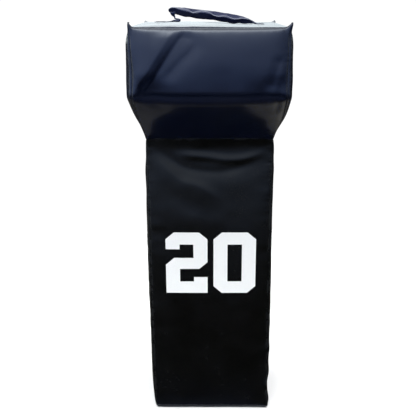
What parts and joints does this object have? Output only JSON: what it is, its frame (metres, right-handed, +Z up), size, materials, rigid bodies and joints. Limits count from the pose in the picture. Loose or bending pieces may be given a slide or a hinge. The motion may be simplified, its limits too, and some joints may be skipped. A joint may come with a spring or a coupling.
{
  "type": "tackling dummy",
  "caption": "Free-standing tackling dummy: foam column with an overhanging padded head, in a sewn vinyl cover with a back zip and a carrying handle on top.",
  "frame": {"origin": "on the floor, at the middle of the base panel's flat face", "axes": "+Z up; the dummy faces -Y, so its zip is on the +Y side; +X is to the right as seen from the front"},
  "size_m": [0.478, 0.5091, 1.3895],
  "materials": {
    "vinyl": "gloss",
    "base_vinyl": "satin",
    "foam": "matte",
    "webbing": "satin",
    "zip_chain": "satin",
    "nickel": "satin",
    "brass": "satin"
  },
  "bodies": {
    "dummy": {"back_left_panel": "vinyl", "back_right_panel": "vinyl", "base_panel": "base_vinyl", "column_front_panel": "vinyl", "column_left_panel": "vinyl", "column_right_panel": "vinyl", "foam_column": "foam", "foam_head": "foam", "handle_tab_left": "webbing", "handle_tab_right": "webbing", "head_front_panel": "vinyl", "head_left_panel": "vinyl", "head_right_panel": "vinyl", "top_panel": "vinyl", "vent_high_left_eyelet": "brass", "vent_high_left_washer": "brass", "vent_high_right_eyelet": "brass", "vent_high_right_washer": "brass", "vent_low_left_eyelet": "brass", "vent_low_left_washer": "brass", "vent_low_right_eyelet": "brass", "vent_low_right_washer": "brass", "zip_end_stop_left": "nickel", "zip_end_stop_right": "nickel", "zip_start_stop": "nickel", "zip_tape_left": "zip_chain", "zip_tape_right": "zip_chain"},
    "handle": {"handle_sleeve": "vinyl", "handle_core": "foam", "handle_leg_left": "webbing", "handle_leg_right": "webbing"},
    "slider": {"zip_slider": "nickel"},
    "pull": {"zip_pull": "nickel"}
  },
  "joints": [
    {"name": "handle_swing", "type": "hinge", "parent": "dummy", "child": "handle", "pos_m": [0, -0.0905, 1.3425], "axis": [1, 0, 0], "range_deg": [-50, 50]},
    {"name": "zip_slide", "type": "slide", "parent": "dummy", "child": "slider", "axis": [0, 0, 1], "range_m": [0, 0.751], "deforming": ["zip_tape_left", "zip_tape_right"]},
    {"name": "pull_swing", "type": "hinge", "parent": "slider", "child": "pull", "pos_m": [0, 0.15535, 0.1449], "axis": [1, 0, 0], "range_deg": [0, 175]}
  ]
}
